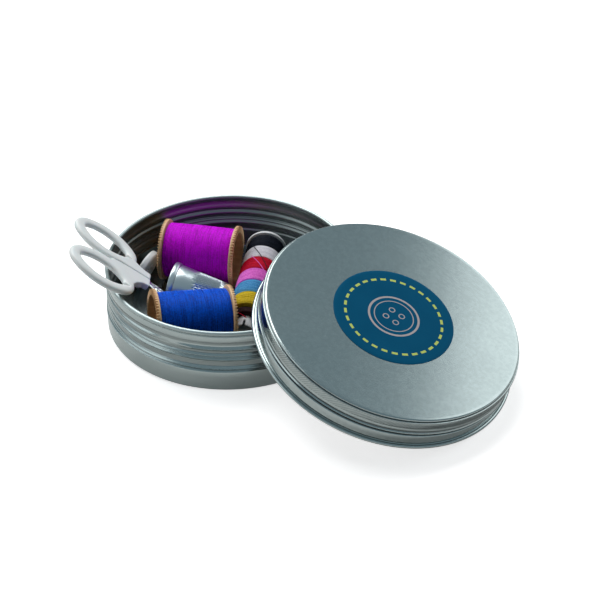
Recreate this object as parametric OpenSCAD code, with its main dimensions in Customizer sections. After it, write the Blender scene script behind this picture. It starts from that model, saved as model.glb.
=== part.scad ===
// Round screw-top sewing tin, opened: the lid leans on the rim, the sewing things lie inside.
// Origin at the middle of the tin's flat bottom, +X to the lid's side, +Y to the back, +Z up.

/* [Tin] */
// Outer radius of the plain part of the wall
body_r = 41.0; // [40.5:0.1:42]
// Height of the tin, table to top of the rim
tin_h = 22.2; // [21.5:0.1:23]
// Sheet thickness of tin and lid
sheet_t = 0.4; // [0.3:0.05:0.6]
// Thickness of the tin's bottom
floor_t = 0.6; // [0.4:0.1:1.2]
// Radius of the bottom corner
corner_r = 1.1; // [0.7:0.1:2]
// Height of the plain wall below the shoulder
plain_h = 7.4; // [6.5:0.1:8]
// How far the neck is drawn in from the plain wall
neck_in = 0.9; // [0.7:0.05:1.1]
// How far the beads stand out from the neck
bead_out = 0.6; // [0.4:0.05:0.7]
// Radius of the curled rim's tube
rim_tube = 0.7; // [0.6:0.05:0.8]
// How far the rim's tube lies inside the neck's outer face
rim_in = 0.3; // [0.2:0.05:0.5]

/* [Lid] */
// Height of the lid, table edge to top face
lid_h = 11.7; // [10:0.1:16]
// Free space between the tin's beads and the lid's wall
lid_fit = 0.35; // [0.2:0.05:0.8]
// Radius of the lid's top edge
lid_edge_r = 1.2; // [0.6:0.1:2]
// Radius of the rolled hem's tube
hem_tube = 0.6; // [0.4:0.05:0.8]
// How far the hem's tube stands out from the wall
hem_out = 0.4; // [0.2:0.05:0.6]
// Thickness of the foam liner
liner_t = 0.8; // [0.4:0.1:1.5]
// Radius of the printed label
label_r = 19.5; // [10:0.5:30]
// Thickness of the label
label_t = 0.12; // [0.1:0.01:0.3]
// Room round the liner
liner_fit = 0.1; // [0:0.05:0.3]
// Depth of the grooves in the lid's wall
lid_groove = 0.25; // [0.1:0.05:0.35]
// How far the lid's bead stands out of its groove
lid_bead = 0.35; // [0.2:0.05:0.4]
// Lean of the lid against the rim
lid_lean = 17.85; // [17.6:0.05:18.1]
// Direction in which the lid lies from the tin
lid_dir = -33.2; // [-36:0.1:-31]

/* [Spools] */
// Length of a spool over its flanges
spool_len = 25.8; // [22:0.1:28]
// Radius of a flange
flange_r = 10.4; // [10:0.1:10.5]
// Thickness of a flange
flange_t = 1.3; // [0.8:0.1:2]
// Outer radius of the hollow barrel
barrel_r = 8.8; // [8.4:0.1:9.2]
// Radius of the hollow inside the barrel
hollow_r = 8.2; // [7:0.1:8.3]
// Thickness of the web in the middle of the barrel
web_t = 1.2; // [0.8:0.1:2]
// Radius of the spindle hole in the web
spindle_r = 3; // [2:0.1:4]
// Radius of the wound thread at its middle
wound_r = 9.4; // [9.3:0.05:9.6]
// How much less the wound thread measures at its ends
wound_crown = 0.15; // [0:0.01:0.3]
// Left-right place of the magenta spool's middle
magenta_x = -10.7; // [-12:0.1:-9]
// Turn of the magenta spool in plan
magenta_turn = -10.6; // [-14:0.1:-8]
// Left-right place of the blue spool's middle
blue_x = -11.4; // [-13:0.1:-10]
// Turn of the blue spool in plan
blue_turn = 14.4; // [14:0.1:14.6]
// Rise of the blue spool's left end
blue_rise = 6.1; // [4:0.1:7]

/* [Thimble] */
// Length of the thimble
thimble_len = 19.5; // [17:0.1:20]
// Outer radius at the mouth
mouth_r = 8.0; // [7.6:0.1:8.1]
// Outer radius at the closed end
tip_r = 5.8; // [5:0.1:5.9]
// Radius of the closed end's round edge
tip_round = 1.5; // [1:0.1:2]
// Thickness of the thimble's wall
thimble_wall = 0.5; // [0.3:0.05:0.8]
// Radius of the bead round the mouth
mouth_bead = 0.4; // [0.25:0.05:0.45]
// Left-right place of the mouth
thimble_x = -19.9; // [-21:0.1:-19.5]
// Place of the mouth behind the middle between the spools
thimble_back = 3.2; // [3.1:0.1:3.4]
// Turn of the thimble in plan
thimble_turn = -13.6; // [-13.8:0.1:-13.2]

/* [Thread tube] */
// Radius of the wound bands
band_r = 6.7; // [5.5:0.1:6.8]
// Length of a band
band_len = 6.8; // [5:0.1:7]
// Length of the last, brown band
last_len = 3; // [1:0.1:4]
// How much less the brown band measures in radius
last_step = 1.3; // [0.5:0.1:2]
// Radius of the tube's end flange
tube_flange_r = 7.1; // [6.8:0.1:7.3]
// Thickness of the end flange
tube_flange_t = 1.1; // [0.6:0.1:1.5]
// Outer radius of the paper-white tube
tube_r = 3.4; // [3:0.1:4]
// Radius of the tube's bore
tube_bore = 2.5; // [1.5:0.1:2.7]
// How far the tube stands out of the last band
tube_out = 4.6; // [2:0.1:5.5]
// Width of the slot that holds the thread ends
tube_slot = 0.8; // [0.4:0.1:1.2]
// Place of the tube's end along the spool's flange
tube_along = 11.8; // [11:0.1:12]
// Turn of the thread tube in plan
tube_turn = -97.6; // [-99:0.1:-97]

/* [Scissors] */
// Thickness of the plastic handles
handle_t = 2; // [1.8:0.1:2.2]
// Width of a finger loop's bar
loop_bar = 3.0; // [2.6:0.1:3.1]
// Half length of a finger loop, to the middle of its bar
loop_a = 10.4; // [9.8:0.1:10.6]
// Half width of a finger loop, to the middle of its bar
loop_b = 6.8; // [6.2:0.1:6.9]
// Radius of a finger loop's round ends, to the middle of its bar
loop_end_r = 4.8; // [4.2:0.1:5.2]
// Distance of the back loop's middle behind the pivot
back_loop_at = 21.7; // [21.3:0.1:22.5]
// Distance of the back loop's middle to the side of the pivot
back_loop_side = 10.6; // [10.4:0.1:11]
// Turn of the back loop
back_loop_turn = -11.5; // [-14:0.5:-10]
// Distance of the front loop's middle behind the pivot
front_loop_at = 20.3; // [20:0.1:21]
// Distance of the front loop's middle to the side of the pivot
front_loop_side = 7.2; // [7.1:0.1:7.6]
// Turn of the front loop
front_loop_turn = -6.4; // [-8:0.1:-5]
// Distance of the plastic's front end behind the pivot
plastic_end = 4; // [3.8:0.1:5]
// Distance of the parting line of the handles from the pivot
parting = 2.7; // [2.4:0.1:2.9]
// Gap between the two handles
handle_gap = 0.35; // [0.3:0.05:0.5]
// Width of the back handle's neck
back_neck = 3.2; // [3:0.1:3.8]
// Width of the front handle's neck
front_neck = 4.2; // [3.8:0.1:4.6]
// Length of the back handle's web along the parting line
back_web = 12; // [11:0.1:12.5]
// Length of the front handle's web along the parting line
front_web = 14.5; // [13:0.1:15]
// How far the front handle's web bows away from the parting line
front_bow = 0.8; // [0.5:0.1:1.2]
// Length in which a neck widens into its loop
neck_run = 4.4; // [4:0.1:5]
// Length of the blades in front of the pivot
blade_len = 21.4; // [18:0.1:21.6]
// Turn of the blades from the handles' line
blade_turn = 4.5; // [3:0.5:6]
// Thickness of one blade
blade_t = 0.8; // [0.6:0.05:0.9]
// Gap between the two blades
blade_gap = 0.3; // [0.1:0.05:0.4]
// Half width of the closed blades at the pivot
blade_w = 2; // [1.8:0.1:2.1]
// Length of a tang inside the plastic
tang_len = 6; // [4:0.5:7]
// Radius of the rivet's shank
rivet_r = 0.9; // [0.7:0.05:1.1]
// Height of a rivet head
rivet_head_h = 0.35; // [0.2:0.05:0.5]
// Room between the rivet and the blade that turns on it
rivet_fit = 0.05; // [0.03:0.01:0.09]
// Tilt of the scissors over the rim
scissors_tilt = 36.3; // [36:0.1:36.8]
// Direction in which they point down into the tin
scissors_dir = 8.8; // [8.4:0.1:9.2]
// Turn of the scissors within their own plane
scissors_turn = -11.6; // [-12:0.1:-11.2]
// Distance of the resting line on the rim from the tin's middle
rest_line = 35.8; // [35.6:0.1:36.2]
// How far inside the resting line the pivot lies
pivot_in = 11.7; // [11.5:0.1:11.9]
// Front-back place of the pivot
pivot_y = -8.9; // [-9.1:0.1:-8.7]

/* [Button] */
// Radius of the button
button_r = 7; // [6:0.1:7.2]
// Thickness of the button's edge
button_t = 2.4; // [1.6:0.1:2.6]
// Bevel of the button's edges
button_edge = 0.6; // [0.4:0.1:0.8]
// Width of the raised rim and of the slope inside it
button_rim = 1; // [0.8:0.1:1.2]
// Depth of the dish in its face
button_dish = 0.8; // [0.3:0.1:1]
// Radius of a thread hole
button_hole = 0.8; // [0.5:0.1:1]
// Distance of the thread holes from the middle
button_hole_at = 1.9; // [1.6:0.1:2.2]
// Lean of the button's face from level
button_lean = 68.7; // [66:0.1:71]
// Direction of the button's face in plan
button_turn = 155.7; // [152:0.1:160]
// Left-right place of the button's middle
button_x = -29.4; // [-29.8:0.1:-29.2]
// Front-back place of the button's middle
button_y = 15; // [14.5:0.1:15.5]

/* [Clearances] */
// Gap left where one thing rests on another
seat = 0.3; // [0.2:0.05:0.4]

/* [Hidden] */
$fn = 96;

// The tin's wall, from the shoulder up
neck_r = body_r - neck_in;
bead_r = neck_r + bead_out;
inside_r = neck_r - sheet_t;
rim_line_r = neck_r - rim_in;
rim_line_z = tin_h - rim_tube;
thread_h = rim_line_z - plain_h;

// The lid's sizes across
lid_r = bead_r + lid_fit + sheet_t;
hem_line_r = lid_r + hem_out;

// The lid's place: its hem stands on the table and lies on the rim
hem_line_z = hem_line_r * sin(lid_lean) + hem_tube;
cross_cos = (hem_line_z - tin_h - hem_tube - seat) / (hem_line_r * sin(lid_lean));
cross_half = hem_line_r * sqrt(1 - cross_cos * cross_cos);
cross_u = sqrt(rim_line_r * rim_line_r - cross_half * cross_half);
lid_u = cross_u - hem_line_r * cross_cos * cos(lid_lean);

// The spools' places
spool_half = spool_len / 2;
rim_inner = rim_line_r - rim_tube;
magenta_edge_x = magenta_x - spool_half * cos(magenta_turn) - flange_r * sin(magenta_turn);
magenta_y = sqrt(pow(rim_inner, 2) - pow(magenta_edge_x, 2))
            + spool_half * sin(magenta_turn) - flange_r * cos(magenta_turn);
magenta_z = floor_t + seat + flange_r;
blue_run = spool_half * cos(blue_rise);
blue_edge_x = blue_x - blue_run * cos(blue_turn) + flange_r * sin(blue_turn);
blue_y = -sqrt(pow(inside_r - seat, 2) - pow(blue_edge_x, 2))
         + blue_run * sin(blue_turn) + flange_r * cos(blue_turn);
blue_z = floor_t + seat + flange_r * cos(blue_rise) + spool_half * sin(blue_rise);

// The thimble's place: it lies on its side between the spools
thimble_dip = atan((mouth_r + mouth_bead - tip_r) / (thimble_len - tip_round));
thimble_y = (magenta_y + blue_y) / 2 + thimble_back;
thimble_z = floor_t + seat + (mouth_r + mouth_bead) * cos(thimble_dip);

// The thread tube's place: beside the magenta spool's right flange
tube_off = band_r + 3 * seat;
tube_at = [magenta_x + (spool_half + tube_off) * cos(magenta_turn) - tube_along * sin(magenta_turn),
           magenta_y + (spool_half + tube_off) * sin(magenta_turn) + tube_along * cos(magenta_turn),
           floor_t + seat + tube_flange_r];
bands_end = tube_flange_t + 6 * band_len;
tube_len = bands_end + last_len + tube_out;

// The scissors' place: the handles lie over the rim, the points are near the bottom
pivot_u = pivot_in - rest_line;
pivot_at = [(pivot_u - pivot_y * sin(scissors_dir)) / cos(scissors_dir), pivot_y,
            tin_h + seat + handle_t / 2 / cos(scissors_tilt) - pivot_in * tan(scissors_tilt)];
side_r = (pow(loop_a - loop_end_r, 2) + pow(loop_b, 2) - pow(loop_end_r, 2))
         / (2 * (loop_b - loop_end_r));
end_angle = atan2(side_r - loop_b, loop_a - loop_end_r);
blade_z = blade_gap / 2;

// The button's place: on the bottom, leaning on the magenta spool's left end
button_up = button_r * sin(button_lean) + button_t / 2 * cos(button_lean);
button_at = [button_x, button_y, floor_t + seat + button_up];

// Points of an arc in a profile, from angle a to angle b
function arc(c, r, a, b, n = 6) =
    [for (i = [0:n]) c + r * [cos(a + (b - a) * i / n), sin(a + (b - a) * i / n)]];

// One smooth bead of a wall, as points going up from z to z + h
function bead(r, out, z, h, n = 6) =
    [for (i = [0:n]) [r + out * (1 - cos(360 * i / n)) / 2, z + h * i / n]];

// Outer line of the tin's wall above the plain part
function thread_line(shift) = concat(
    [[body_r - shift, plain_h]],
    bead(neck_r - shift + neck_in * 0.5, bead_out * 0.4, plain_h + thread_h * 0.04, thread_h * 0.09),
    bead(neck_r - shift, bead_out, plain_h + thread_h * 0.25, thread_h * 0.25),
    bead(neck_r - shift, bead_out, plain_h + thread_h * 0.55, thread_h * 0.15),
    [[neck_r - shift, plain_h + thread_h * 0.78], [neck_r - shift, rim_line_z]]);

module ring_tube(r, tube) {
    rotate_extrude() translate([r, 0]) circle(tube, $fn = 24);
}

module tin_body() {
    color("silver") {
        rotate_extrude() polygon(concat(
            [[0, 0]],
            arc([body_r - corner_r, corner_r], corner_r, -90, 0),
            thread_line(0),
            [for (i = [len(thread_line(0)) - 1:-1:0]) thread_line(sheet_t)[i]],
            [[body_r - sheet_t, floor_t], [0, floor_t]]));
        translate([0, 0, rim_line_z]) ring_tube(rim_line_r, rim_tube);
    }
}

// Carries the lid's pieces, drawn with the hem's line at z = 0, to where the lid leans
module lid_place() {
    rotate([0, 0, lid_dir]) translate([lid_u, 0, hem_line_z]) rotate([0, lid_lean, 0])
        translate([0, 0, -hem_tube]) children();
}

module lid_shell() {
    wall_top = lid_h - lid_edge_r;
    inner_r = lid_r - sheet_t;
    color("lightsteelblue") lid_place() {
        rotate_extrude() polygon(concat(
            [[0, lid_h]],
            arc([lid_r - lid_edge_r, wall_top], lid_edge_r, 90, 0),
            [[lid_r, lid_h * 0.60], [lid_r - lid_groove, lid_h * 0.57]],
            bead(lid_r - lid_groove, lid_bead, lid_h * 0.57, -lid_h * 0.08, 4),
            [[lid_r - lid_groove, lid_h * 0.46], [lid_r, lid_h * 0.42], [lid_r, lid_h * 0.15],
             [lid_r - lid_groove * 0.8, lid_h * 0.12], [lid_r, hem_tube], [inner_r, hem_tube],
             [inner_r, wall_top], [inner_r - lid_edge_r + sheet_t, lid_h - sheet_t],
             [0, lid_h - sheet_t]]));
        translate([0, 0, hem_tube]) ring_tube(hem_line_r, hem_tube);
    }
}

module lid_liner() {
    color("whitesmoke") lid_place() translate([0, 0, lid_h - sheet_t - liner_t])
        cylinder(h = liner_t, r = lid_r - lid_edge_r - liner_fit);
}

module lid_label() {
    color([0.0, 0.33, 0.5]) lid_place()
        translate([0, 0, lid_h]) cylinder(h = label_t, r = label_r);
}

module magenta_place() {
    translate([magenta_x, magenta_y, magenta_z]) rotate([0, 0, magenta_turn]) rotate([0, 90, 0])
        children();
}

module blue_place() {
    translate([blue_x, blue_y, blue_z]) rotate([0, 0, blue_turn]) rotate([0, 90 + blue_rise, 0])
        children();
}

// A hollow spool along z with its middle at the origin
module spool() {
    difference() {
        union() {
            cylinder(h = spool_len, r = barrel_r, center = true);
            for (side = [-1, 1]) translate([0, 0, side * (spool_half - flange_t / 2)])
                cylinder(h = flange_t, r = flange_r, center = true);
        }
        for (side = [-1, 1]) translate([0, 0, side * (spool_half + web_t) / 2])
            cylinder(h = spool_half, r = hollow_r, center = true);
        cylinder(h = spool_len, r = spindle_r, center = true);
    }
}

// The thread wound between a spool's flanges, a little fuller in the middle
module spool_thread() {
    half = spool_half - flange_t;
    rotate_extrude() polygon([[barrel_r, -half], [wound_r - wound_crown, -half], [wound_r, -half * 0.5],
                              [wound_r, half * 0.5], [wound_r - wound_crown, half], [barrel_r, half]]);
}

module magenta_spool() { color("burlywood") magenta_place() spool(); }
module magenta_thread() { color([0.7, 0.05, 0.75]) magenta_place() spool_thread(); }
module blue_spool() { color("burlywood") blue_place() spool(); }
module blue_thread() { color([0.0, 0.2, 0.7]) blue_place() spool_thread(); }

module thimble() {
    lip_r = mouth_r + mouth_bead;
    shoulder = thimble_len - tip_round;
    color("silver")
        translate([thimble_x, thimble_y, thimble_z]) rotate([0, 0, thimble_turn])
        rotate([0, 90 + thimble_dip, 0]) rotate_extrude() polygon(concat(
            arc([mouth_r, mouth_bead], mouth_bead, -90, 90),
            arc([mouth_r - 0.1, mouth_bead * 4.2], mouth_bead * 0.7, -80, 80),
            [[tip_r, shoulder]],
            arc([tip_r - tip_round, shoulder], tip_round, 0, 90),
            [[0, thimble_len], [0, thimble_len - thimble_wall],
             [tip_r - tip_round, thimble_len - thimble_wall], [tip_r - thimble_wall, shoulder],
             [mouth_r - thimble_wall, 0]]));
}

// Carries pieces drawn along +z to the thread tube, its flanged end at z = 0
module tube_place() {
    translate(tube_at) rotate([0, 0, tube_turn]) rotate([0, 90, 0]) children();
}

module thread_tube() {
    color("white") tube_place() difference() {
        union() {
            cylinder(h = tube_flange_t, r = tube_flange_r);
            cylinder(h = tube_len, r = tube_r);
        }
        translate([0, 0, -1]) cylinder(h = tube_len + 2, r = tube_bore);
        translate([-tube_r - 1, -tube_slot / 2, tube_len - tube_out * 0.6])
            cube([tube_r + 1, tube_slot, tube_out]);
    }
}

// One band of thread on the tube
module band(number, r, length) {
    tube_place() translate([0, 0, tube_flange_t + number * band_len]) difference() {
        cylinder(h = length, r = r);
        translate([0, 0, -1]) cylinder(h = length + 2, r = tube_r);
    }
}

module black_thread() { color([0.03, 0.03, 0.05]) band(0, band_r, band_len); }
module white_thread() { color([0.85, 0.85, 0.87]) band(1, band_r, band_len); }
module red_thread() { color([0.75, 0.0, 0.15]) band(2, band_r, band_len); }
module pink_thread() { color([0.86, 0.4, 0.78]) band(3, band_r, band_len); }
module sky_thread() { color([0.2, 0.5, 0.8]) band(4, band_r, band_len); }
module yellow_thread() { color([0.82, 0.72, 0.15]) band(5, band_r, band_len); }
module brown_thread() { color([0.2, 0.1, 0.1]) band(6, band_r - last_step, last_len); }

// Carries the scissors to the rim, drawn with the pivot at the origin and the points to +x
module scissors_place() {
    translate(pivot_at) rotate([0, 0, scissors_dir]) rotate([0, scissors_tilt, 0])
        rotate([0, 0, scissors_turn]) children();
}

// Half of a finger loop's line, d outside the middle of its bar
function half_oval(d, n = 9) = concat(
    [for (i = [0:n - 1]) [loop_a - loop_end_r, 0] + (loop_end_r + d)
        * [cos(end_angle * (2 * i / n - 1)), sin(end_angle * (2 * i / n - 1))]],
    [for (i = [0:n - 1]) [0, loop_b - side_r] + (side_r + d)
        * [cos(end_angle + (180 - 2 * end_angle) * i / n), sin(end_angle + (180 - 2 * end_angle) * i / n)]]);
function oval(d) = concat(half_oval(d), [for (p = half_oval(d)) -p]);

// The finger loop's bar, w wide and h thick
module loop(w, h) {
    translate([0, 0, -h / 2]) linear_extrude(h) difference() {
        polygon(oval(w / 2));
        polygon(oval(-w / 2));
    }
}

// A point on the middle line of the loop's bar, at angle a round its end or its side
function loop_end_at(at, turn, a) =
    at + (loop_a - loop_end_r) * [cos(turn), sin(turn)] + loop_end_r * [cos(turn + a), sin(turn + a)];
function loop_side_at(at, turn, side, a) =
    at - side * (side_r - loop_b) * [-sin(turn), cos(turn)]
    + side_r * [cos(turn + side * a), sin(turn + side * a)];

// One handle: its loop and its neck; side is +1 for the back one, edge its side of the parting line
module handle(at, turn, side, in_y, out_y, edge) {
    translate([at[0], at[1], 0]) rotate([0, 0, turn]) {
        loop(loop_bar, handle_t * 0.5);
        loop(loop_bar * 0.7, handle_t);
    }
    outer = loop_end_at(at, turn, side * 8);
    translate([0, 0, -handle_t / 2]) linear_extrude(handle_t) polygon(concat(
        [[-plastic_end, in_y], [-plastic_end, out_y], [-plastic_end - neck_run / 2, out_y + side * 0.3],
         [-plastic_end - neck_run, out_y * 0.7 + outer[1] * 0.3]],
        [for (a = [8, -8, -24, -40]) loop_end_at(at, turn, side * a)],
        [loop_side_at(at, turn, -side, end_angle + 8), loop_side_at(at, turn, -side, 90)],
        edge));
}

// A point turned about the pivot into the blades' direction
function turned(x, y) = [x * cos(blade_turn) - y * sin(blade_turn), x * sin(blade_turn) + y * cos(blade_turn)];

// The outline of a closed blade from its tang to its point; side is that of its handle
module blade_outline(side, tang_y, tang_w) {
    w = side * blade_w;
    polygon([[-plastic_end - tang_len, tang_y], [-plastic_end - tang_len, tang_y + side * tang_w],
             [-plastic_end, tang_y + side * tang_w], turned(-1, w * 1.04), turned(blade_w, w * 0.9),
             turned(blade_len * 0.6, w * 0.6), turned(blade_len, w * 0.1), turned(blade_len, -w * 0.15),
             turned(blade_len * 0.6, -w * 0.7), turned(blade_w, -w), turned(-blade_w * 0.4, -w),
             [-plastic_end, tang_y]]);
}

parting_back = parting + handle_gap / 2;
parting_front = parting - handle_gap / 2;

module back_outline() { blade_outline(1, parting_back + 0.7, back_neck - 1.6); }
module front_outline() { blade_outline(-1, parting_front - 1, front_neck - 2.2); }

module scissors_back_handle() {
    color("ghostwhite") scissors_place() difference() {
        handle([-back_loop_at, back_loop_side], back_loop_turn, 1, parting_back, parting_back + back_neck,
               [[-plastic_end - back_web, parting_back]]);
        translate([0, 0, -blade_t - blade_z]) linear_extrude(blade_t) back_outline();
    }
}

module scissors_front_handle() {
    color("ghostwhite") scissors_place() difference() {
        handle([-front_loop_at, -front_loop_side], front_loop_turn, -1, parting_front,
               parting_front - front_neck,
               [[-plastic_end - front_web, parting_front - front_bow],
                [-plastic_end - front_web * 0.62, parting_front - front_bow * 0.2]]);
        translate([0, 0, blade_z]) linear_extrude(blade_t) front_outline();
    }
}

module scissors_back_blade() {
    color("lightgray") scissors_place() translate([0, 0, -blade_t - blade_z]) difference() {
        linear_extrude(blade_t) back_outline();
        translate([0, 0, -1]) cylinder(h = blade_t + 2, r = rivet_r + rivet_fit);
    }
}

module scissors_front_blade() {
    color("lightgray") scissors_place() translate([0, 0, blade_z]) difference() {
        linear_extrude(blade_t) front_outline();
        translate([0, 0, -1]) cylinder(h = blade_t + 2, r = rivet_r);
    }
}

module scissors_rivet() {
    reach = blade_t + blade_z;
    under = reach + seat;
    color("gray") scissors_place() {
        translate([0, 0, -under]) cylinder(h = reach + under, r = rivet_r);
        translate([0, 0, reach]) cylinder(h = rivet_head_h, r1 = rivet_r * 1.8, r2 = rivet_r * 1.3);
        translate([0, 0, -under - rivet_head_h])
            cylinder(h = rivet_head_h, r1 = rivet_r * 1.3, r2 = rivet_r * 1.8);
    }
}

module shirt_button() {
    half = button_t / 2;
    rim_r = button_r - button_edge;
    color("aliceblue") translate(button_at) rotate([0, 0, button_turn]) rotate([0, button_lean, 0])
        difference() {
            rotate_extrude() polygon([[0, -half], [rim_r, -half], [button_r, -half + button_edge],
                [button_r, half - button_edge], [rim_r, half], [rim_r - button_rim, half],
                [rim_r - 2 * button_rim, half - button_dish], [0, half - button_dish]]);
            for (turn = [0:90:270]) rotate([0, 0, turn + 45]) translate([button_hole_at, 0, -button_t])
                cylinder(h = 2 * button_t, r = button_hole, $fn = 24);
        }
}

tin_body();
lid_shell();
lid_liner();
lid_label();
magenta_spool();
magenta_thread();
blue_spool();
blue_thread();
thimble();
thread_tube();
black_thread();
white_thread();
red_thread();
pink_thread();
sky_thread();
yellow_thread();
brown_thread();
scissors_front_handle();
scissors_front_blade();
scissors_back_handle();
scissors_back_blade();
scissors_rivet();
shirt_button();
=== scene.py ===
import bpy
from math import atan2, cos, degrees, hypot, pi, radians, sin
from mathutils import Matrix, Vector, noise


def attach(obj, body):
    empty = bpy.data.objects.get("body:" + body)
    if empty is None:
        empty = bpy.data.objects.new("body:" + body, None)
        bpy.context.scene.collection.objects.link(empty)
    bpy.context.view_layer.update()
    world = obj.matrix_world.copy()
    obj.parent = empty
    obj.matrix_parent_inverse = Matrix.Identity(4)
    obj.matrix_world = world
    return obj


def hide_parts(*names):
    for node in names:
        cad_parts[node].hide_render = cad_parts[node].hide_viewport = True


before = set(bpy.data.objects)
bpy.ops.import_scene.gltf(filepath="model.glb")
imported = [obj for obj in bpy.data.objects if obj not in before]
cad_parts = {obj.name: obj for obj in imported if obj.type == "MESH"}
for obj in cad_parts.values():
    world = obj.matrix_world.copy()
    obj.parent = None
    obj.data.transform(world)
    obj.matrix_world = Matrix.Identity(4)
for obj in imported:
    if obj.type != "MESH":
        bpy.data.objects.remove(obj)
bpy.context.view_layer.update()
mm = 0.001
fullTurn = 2 * pi
mergeGap = 1e-6
startRadius = 0.01  # of a circle or a ring before its points are placed

# Camera

camera = {"place": (0.02315, -0.415588, 0.303740), "tilt": 54.363, "lens": 92.046, "sensor": 36}
bpy.ops.object.camera_add(location=camera["place"], rotation=(radians(camera["tilt"]), 0, 0))
bpy.context.object.data.lens = camera["lens"]
bpy.context.object.data.sensor_width = camera["sensor"]
bpy.context.scene.camera = bpy.context.object
bpy.context.scene.view_settings.view_transform = "Standard"
print("camera set")


# Shader maths

class Value:  # a socket of a material that can stand in a sum
    def __init__(self, finish, socket):
        self.finish = finish
        self.socket = socket

    def math(self, operation, *others):
        return self.finish.math(operation, self, *others)

    def __add__(self, other): return self.math("ADD", other)
    def __radd__(self, other): return self.math("ADD", other)
    def __sub__(self, other): return self.math("SUBTRACT", other)
    def __rsub__(self, other): return self.finish.math("SUBTRACT", other, self)
    def __mul__(self, other): return self.math("MULTIPLY", other)
    def __rmul__(self, other): return self.math("MULTIPLY", other)
    def __truediv__(self, other): return self.math("DIVIDE", other)

    def above(self, edge, soft):  # 0 below the edge and 1 above it, with a soft step between
        return self.finish.node("ShaderNodeMapRange", {"interpolation_type": "SMOOTHSTEP"},
                                {"Value": self, "From Min": edge - soft, "From Max": edge + soft})


class Finish:  # one material and its nodes
    def __init__(self, name, block=None):
        self.material = block or bpy.data.materials.new(name)
        self.material.use_nodes = True
        self.tree = self.material.node_tree
        self.tree.nodes.clear()

    def node(self, kind, settings=None, inputs=None, output=0):
        made = self.tree.nodes.new(kind)
        for name, value in (settings or {}).items():
            if name == "stops":
                while len(made.color_ramp.elements) < len(value):
                    made.color_ramp.elements.new(0.5)
                for element, (place, colour) in zip(made.color_ramp.elements, value):
                    element.position = place
                    element.color = (*colour, 1)
            else:
                setattr(made, name, value)
        pairs = inputs.items() if isinstance(inputs, dict) else enumerate(inputs or [])
        for name, value in pairs:
            if isinstance(value, Value):
                self.tree.links.new(value.socket, made.inputs[name])
            else:
                made.inputs[name].default_value = value
        return made if output is None else Value(self, made.outputs[output])

    def math(self, operation, *values):
        return self.node("ShaderNodeMath", {"operation": operation}, values)

    def place(self):  # the point in the object's own frame, metres
        return self.node("ShaderNodeTexCoord", output="Object")

    def bench(self):  # the point on the piece as it was made on the bench, metres
        return self.node("ShaderNodeAttribute", {"attribute_name": "bench"}, output="Vector")

    def stretched(self, vector, scale):
        return self.node("ShaderNodeMapping", {}, {"Vector": vector, "Scale": scale})

    def parts(self, vector):
        split = self.node("ShaderNodeSeparateXYZ", {}, {"Vector": vector}, output=None)
        return [Value(self, socket) for socket in split.outputs]

    def reach(self, x, y):  # how far a point lies from the middle
        return self.math("SQRT", x * x + y * y)

    def noise(self, vector, scale, detail=2.0, rough=0.5):
        return self.node("ShaderNodeTexNoise", {}, {"Vector": vector, "Scale": scale, "Detail": detail,
                                                    "Roughness": rough})

    def streaks(self, scale, detail, rough=0.6):  # noise drawn out along the piece
        return self.noise(self.stretched(self.bench(), scale), 1.0, detail, rough)

    def ramp(self, value, stops):
        return self.node("ShaderNodeValToRGB", {"stops": stops}, {"Fac": value})

    def mix(self, factor, first, second):
        made = self.node("ShaderNodeMix", {"data_type": "RGBA"}, {0: factor}, output=None)
        for index, colour in ((6, first), (7, second)):  # the mix node's two colour sockets
            if isinstance(colour, Value):
                self.tree.links.new(colour.socket, made.inputs[index])
            else:
                made.inputs[index].default_value = (*colour, 1)
        return Value(self, made.outputs[2])

    def bump(self, height, distance, strength=1.0):
        return self.node("ShaderNodeBump", {}, {"Height": height, "Distance": distance, "Strength": strength})

    def surface(self, **sockets):
        shader = self.node("ShaderNodeBsdfPrincipled", output=None)
        for name, value in sockets.items():
            socket = shader.inputs[name.replace("_", " ")]
            if isinstance(value, Value):
                self.tree.links.new(value.socket, socket)
            elif isinstance(value, tuple) and socket.type == "RGBA":
                socket.default_value = (*value, 1)
            else:
                socket.default_value = value
        output = self.node("ShaderNodeOutputMaterial", output=None)
        self.tree.links.new(shader.outputs[0], output.inputs["Surface"])
        return self.material


def darker(colour, share):
    return tuple(channel * share for channel in colour)


# Bench tools

def pickUp(piece):
    if bpy.context.mode != "OBJECT":
        bpy.ops.object.mode_set(mode="OBJECT")
    bpy.ops.object.select_all(action="DESELECT")
    if piece:
        piece.select_set(True)
        bpy.context.view_layer.objects.active = piece


def choose(piece, part, rule):  # opens a piece for editing with the parts that follow the rule selected
    pickUp(piece)
    bpy.ops.object.mode_set(mode="EDIT")
    bpy.ops.mesh.select_mode(type={"vertices": "VERT", "edges": "EDGE", "polygons": "FACE"}[part])
    bpy.ops.mesh.select_all(action="DESELECT")
    bpy.ops.object.mode_set(mode="OBJECT")
    for item in getattr(piece.data, part):
        item.select = rule(item)
    bpy.ops.object.mode_set(mode="EDIT")


def modify(piece, kind, **settings):
    modifier = piece.modifiers.new(kind, kind)
    for name, value in settings.items():
        setattr(modifier, name, value)
    pickUp(piece)
    bpy.ops.object.modifier_apply(modifier=modifier.name)


def cleanUp(piece, reach=2e-6):
    pickUp(piece)
    bpy.ops.object.mode_set(mode="EDIT")
    bpy.ops.mesh.select_all(action="SELECT")
    bpy.ops.mesh.remove_doubles(threshold=reach)
    bpy.ops.mesh.normals_make_consistent(inside=False)
    bpy.ops.object.mode_set(mode="OBJECT")


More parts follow.
